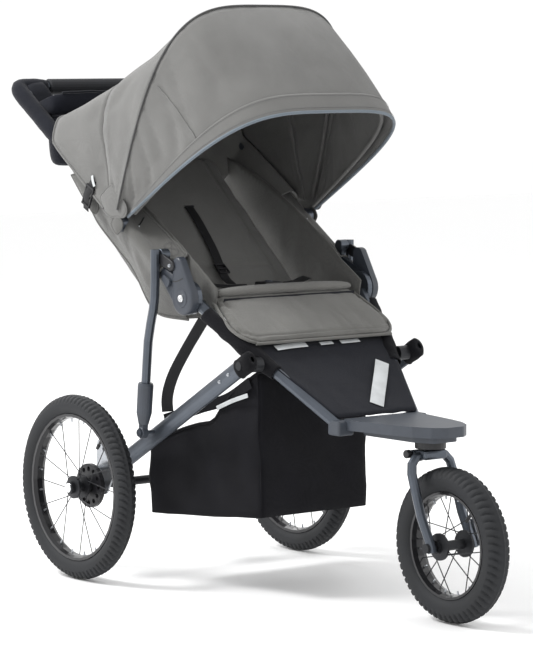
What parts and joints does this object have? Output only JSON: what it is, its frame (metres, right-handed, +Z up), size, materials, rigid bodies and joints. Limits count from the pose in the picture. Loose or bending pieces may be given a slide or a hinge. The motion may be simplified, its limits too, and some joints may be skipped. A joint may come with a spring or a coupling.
{
  "type": "jogging stroller",
  "caption": "Folding jogging stroller with spoked air-filled wheels, a swivel front fork, sprung rear struts, a reclining seat, a hooped canopy, a console and a basket.",
  "frame": {"origin": "on the ground, in the middle of the stroller's length and width", "axes": "+Z up, -Y the way the stroller travels, +X the stroller's left"},
  "size_m": [0.647, 1.3579, 1.2071],
  "materials": {
    "frame": "satin gunmetal paint",
    "dark_metal": "satin black",
    "silver": "satin",
    "chrome": "polished",
    "grey_plastic": "matte grey",
    "black_plastic": "matte black",
    "foam": "soft foam grip",
    "tyre": "matte rubber",
    "rim": "satin black",
    "grey_fabric": "mid grey woven fabric",
    "dark_fabric": "charcoal woven fabric",
    "black_fabric": "black woven fabric"
  },
  "bodies": {
    "main_frame": {"front_tube_r": "frame", "front_tube_l": "frame", "footrest": "grey_plastic", "steering_head": "black_plastic", "hinge_rivet_r": "chrome", "hinge_rivet_l": "chrome", "leg_pivot_bar": "dark_metal", "seat_base": "dark_fabric", "leg_flap": "grey_fabric", "calf_panel": "dark_fabric", "basket": "black_fabric", "tether_strap": "black_fabric", "harness_buckle": "black_plastic"},
    "fork": {"fork": "frame", "front_axle": "dark_metal"},
    "front_wheel": {"front_tyre": "tyre", "front_rim": "rim", "front_hub": "dark_metal"},
    "swivel_lock": {"swivel_lock": "black_plastic"},
    "release_lever": {"release_lever": "silver"},
    "upper_frame": {"push_bar": "frame", "handle_grip": "foam", "organiser": "black_fabric", "hinge_outer_r": "grey_plastic", "hinge_outer_l": "grey_plastic", "seat_side_r": "grey_fabric", "seat_side_l": "grey_fabric", "canopy_rear": "grey_fabric"},
    "fold_latch_r": {"fold_latch_r": "grey_plastic"},
    "fold_latch_l": {"fold_latch_l": "grey_plastic"},
    "canopy_middle": {"canopy_middle": "grey_fabric"},
    "canopy_front": {"canopy_front": "grey_fabric"},
    "seat_back": {"seat_back": "dark_fabric"},
    "buckle_button": {"buckle_button": "grey_plastic"},
    "rear_frame": {"rear_leg_r": "frame", "rear_leg_l": "frame", "axle_plate_r": "silver", "axle_plate_l": "silver", "rear_axle": "dark_metal"},
    "brake_pedal": {"brake_pedal": "black_plastic"},
    "rear_wheel_r": {"rear_tyre_r": "tyre", "rear_rim_r": "rim", "rear_hub_r": "dark_metal", "brake_drum_r": "black_plastic"},
    "release_button_r": {"release_button_r": "chrome"},
    "brake_pin_r": {"brake_pin_r": "silver"},
    "shock_r": {"shock_sleeve_r": "grey_plastic"},
    "link_r": {"link_tube_r": "frame"},
    "rear_wheel_l": {"rear_tyre_l": "tyre", "rear_rim_l": "rim", "rear_hub_l": "dark_metal", "brake_drum_l": "black_plastic"},
    "release_button_l": {"release_button_l": "chrome"},
    "brake_pin_l": {"brake_pin_l": "silver"},
    "shock_l": {"shock_sleeve_l": "grey_plastic"},
    "link_l": {"link_tube_l": "frame"}
  },
  "joints": [
    {"name": "fold", "type": "hinge", "parent": "main_frame", "child": "upper_frame", "pos_m": [0, 0.023, 0.615], "axis": [1, 0, 0], "range_deg": [0, 150], "deforming": ["canopy_rear", "seat_side_r", "seat_side_l", "tether_strap", "basket"]},
    {"name": "rear_leg_fold", "type": "hinge", "parent": "main_frame", "child": "rear_frame", "pos_m": [0, -0.15, 0.49], "axis": [1, 0, 0], "range_deg": [-70, 0]},
    {"name": "link_fold_r", "type": "hinge", "parent": "rear_frame", "child": "shock_r", "pos_m": [-0.2585, 0.145, 0.328], "axis": [1, 0, 0], "range_deg": [0, 50]},
    {"name": "shock_travel_r", "type": "slide", "parent": "shock_r", "child": "link_r", "axis": [0, -0.0993, 0.9951], "range_m": [-0.015, 0], "stiffness_N_per_m": 8000},
    {"name": "rear_wheel_spin_r", "type": "hinge", "parent": "rear_frame", "child": "rear_wheel_r", "pos_m": [-0.2957, 0.3304, 0.1965], "axis": [1, 0, 0], "continuous": true},
    {"name": "wheel_release_r", "type": "slide", "parent": "rear_wheel_r", "child": "release_button_r", "axis": [1, 0, 0], "range_m": [0, 0.003], "stiffness_N_per_m": 400},
    {"name": "brake_pin_slide_r", "type": "slide", "parent": "rear_frame", "child": "brake_pin_r", "axis": [-1, 0, 0], "range_m": [0, 0.007]},
    {"name": "fold_latch_slide_r", "type": "slide", "parent": "upper_frame", "child": "fold_latch_r", "axis": [0, 0.832, 0.5548], "range_m": [0, 0.008], "stiffness_N_per_m": 300},
    {"name": "link_fold_l", "type": "hinge", "parent": "rear_frame", "child": "shock_l", "pos_m": [0.2585, 0.145, 0.328], "axis": [1, 0, 0], "range_deg": [0, 50]},
    {"name": "shock_travel_l", "type": "slide", "parent": "shock_l", "child": "link_l", "axis": [0, -0.0993, 0.9951], "range_m": [-0.015, 0], "stiffness_N_per_m": 8000},
    {"name": "rear_wheel_spin_l", "type": "hinge", "parent": "rear_frame", "child": "rear_wheel_l", "pos_m": [0.2957, 0.3304, 0.1965], "axis": [1, 0, 0], "continuous": true},
    {"name": "wheel_release_l", "type": "slide", "parent": "rear_wheel_l", "child": "release_button_l", "axis": [-1, 0, 0], "range_m": [0, 0.003], "stiffness_N_per_m": 400},
    {"name": "brake_pin_slide_l", "type": "slide", "parent": "rear_frame", "child": "brake_pin_l", "axis": [1, 0, 0], "range_m": [0, 0.007]},
    {"name": "fold_latch_slide_l", "type": "slide", "parent": "upper_frame", "child": "fold_latch_l", "axis": [0, 0.832, 0.5548], "range_m": [0, 0.008], "stiffness_N_per_m": 300},
    {"name": "fork_swivel", "type": "hinge", "parent": "main_frame", "child": "fork", "pos_m": [0, -0.465, 0.345], "axis": [0, 0, 1], "continuous": true},
    {"name": "front_wheel_spin", "type": "hinge", "parent": "fork", "child": "front_wheel", "pos_m": [0, -0.5304, 0.1544], "axis": [1, 0, 0], "continuous": true},
    {"name": "swivel_lock_pull", "type": "slide", "parent": "fork", "child": "swivel_lock", "axis": [-1, 0, 0], "range_m": [0, 0.006], "stiffness_N_per_m": 300},
    {"name": "release_lever_turn", "type": "hinge", "parent": "fork", "child": "release_lever", "pos_m": [0.0645, -0.5335, 0.1459], "axis": [0, 0.9397, -0.342], "range_deg": [0, 90]},
    {"name": "canopy_front_fold", "type": "hinge", "parent": "upper_frame", "child": "canopy_front", "pos_m": [0, 0.235, 0.757], "axis": [1, 0, 0], "range_deg": [-77, 0], "deforming": ["canopy_front"]},
    {"name": "canopy_middle_fold", "type": "hinge", "parent": "upper_frame", "child": "canopy_middle", "pos_m": [0, 0.235, 0.757], "axis": [1, 0, 0], "range_deg": [-38.5, 0], "deforming": ["canopy_middle"]},
    {"name": "seat_recline", "type": "hinge", "parent": "upper_frame", "child": "seat_back", "pos_m": [0, 0.165, 0.585], "axis": [1, 0, 0], "range_deg": [0, 30]},
    {"name": "buckle_press", "type": "slide", "parent": "main_frame", "child": "buckle_button", "axis": [0, 0, -1], "range_m": [0, 0.003], "stiffness_N_per_m": 300},
    {"name": "brake_pedal_press", "type": "hinge", "parent": "rear_frame", "child": "brake_pedal", "pos_m": [0, 0.3304, 0.1965], "axis": [1, 0, 0], "range_deg": [-20, 0]}
  ],
  "couplings": [
    {"joint": "rear_leg_fold", "follows": "fold", "ratio": -0.4666},
    {"joint": "link_fold_r", "follows": "fold", "ratio": 0.3333},
    {"joint": "link_fold_l", "follows": "fold", "ratio": 0.3333},
    {"joint": "canopy_middle_fold", "follows": "canopy_front_fold", "ratio": 0.5},
    {"joint": "brake_pin_slide_r", "follows": "brake_pedal_press", "m_per_rad": -0.02},
    {"joint": "brake_pin_slide_l", "follows": "brake_pedal_press", "m_per_rad": -0.02}
  ]
}
